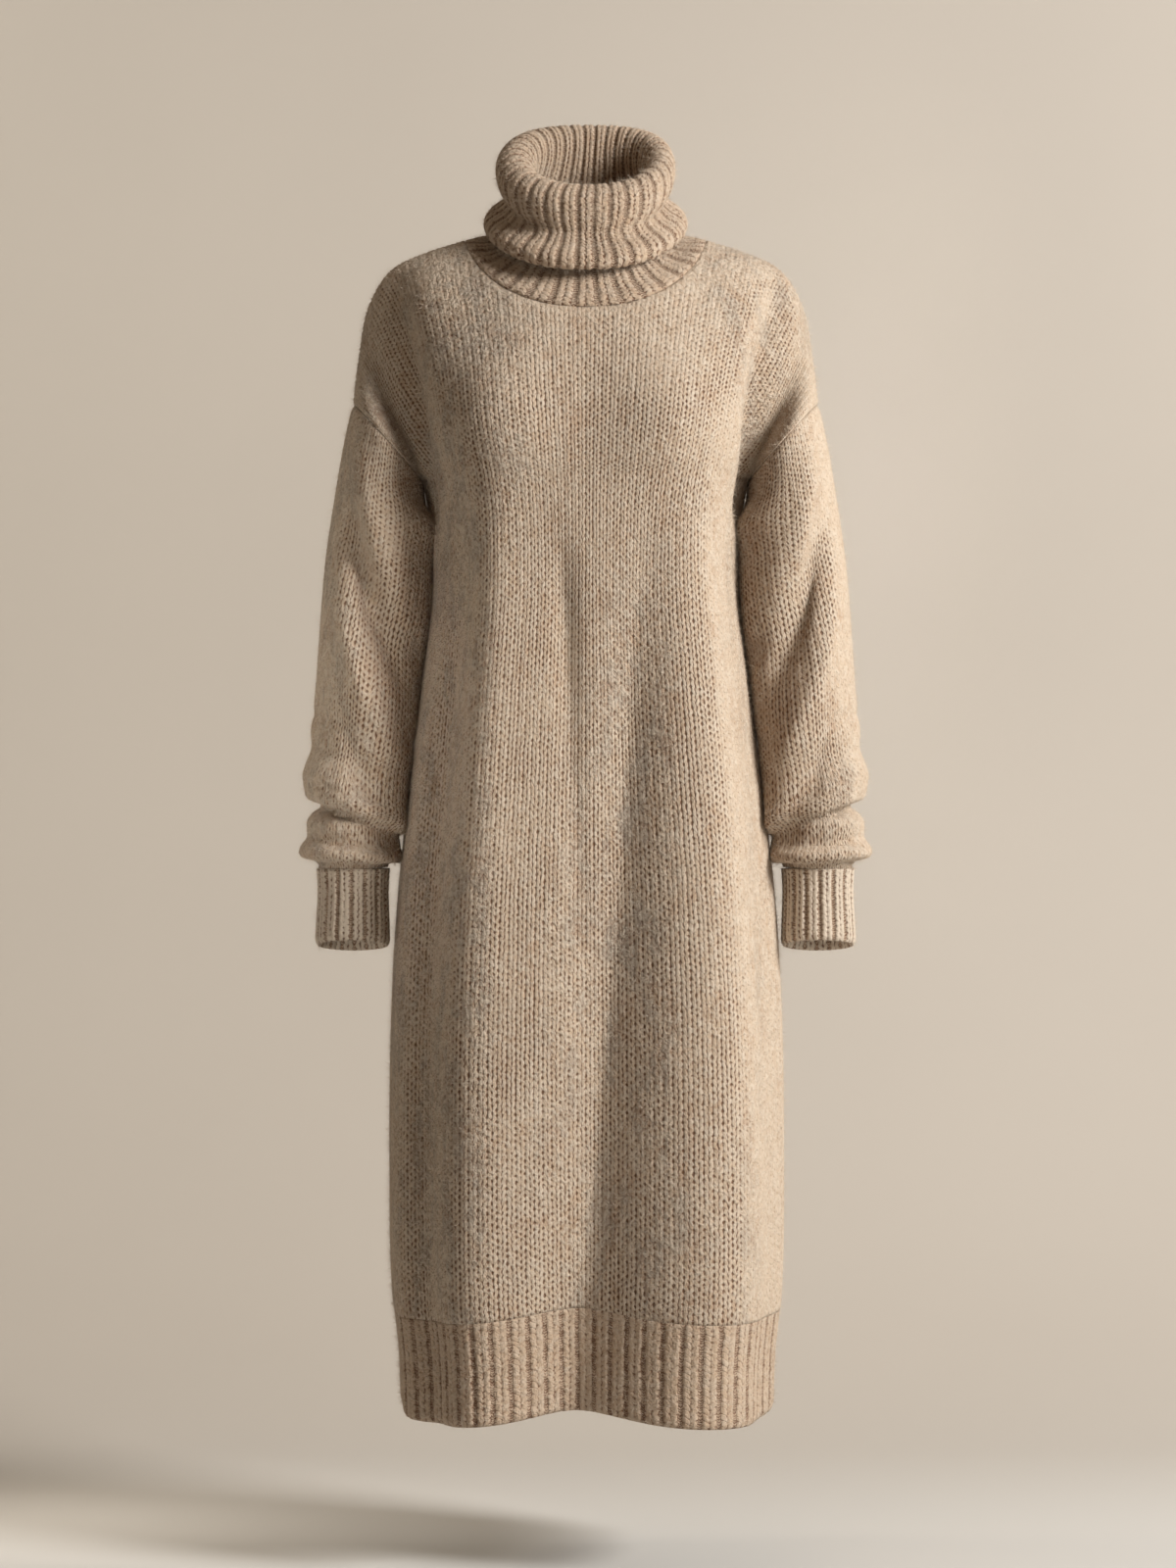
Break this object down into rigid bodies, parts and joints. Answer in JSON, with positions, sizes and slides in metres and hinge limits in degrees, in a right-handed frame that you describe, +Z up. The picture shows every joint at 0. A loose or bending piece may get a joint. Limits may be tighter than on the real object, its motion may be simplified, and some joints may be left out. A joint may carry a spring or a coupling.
{
  "type": "sweater dress",
  "caption": "Hollow knee-length knitted dress with long sleeves, ribbed cuffs and hem, and a loose folded roll collar, shaped as worn.",
  "frame": {"origin": "middle of the neck base, level with the tops of the shoulders, where the wearer carries the dress", "axes": "+Z up along the wearer's spine, -Y towards the dress's front, +X towards the wearer's left"},
  "size_m": [0.5168, 0.2883, 1.1871],
  "materials": {
    "front": "stocking stitch in chunky heather wool",
    "back": "stocking stitch in chunky heather wool",
    "sleeve_left": "stocking stitch in chunky heather wool",
    "sleeve_right": "stocking stitch in chunky heather wool",
    "hem_rib_front": "ribbed chunky wool knit",
    "hem_rib_back": "ribbed chunky wool knit",
    "cuff_left": "ribbed chunky wool knit",
    "cuff_right": "ribbed chunky wool knit",
    "roll_collar": "ribbed chunky wool knit"
  },
  "bodies": {
    "root": {"front": "front", "back": "back", "sleeve_left": "sleeve_left", "sleeve_right": "sleeve_right", "hem_rib_front": "hem_rib_front", "hem_rib_back": "hem_rib_back", "cuff_left": "cuff_left", "cuff_right": "cuff_right", "roll_collar": "roll_collar"}
  },
  "joints": []
}
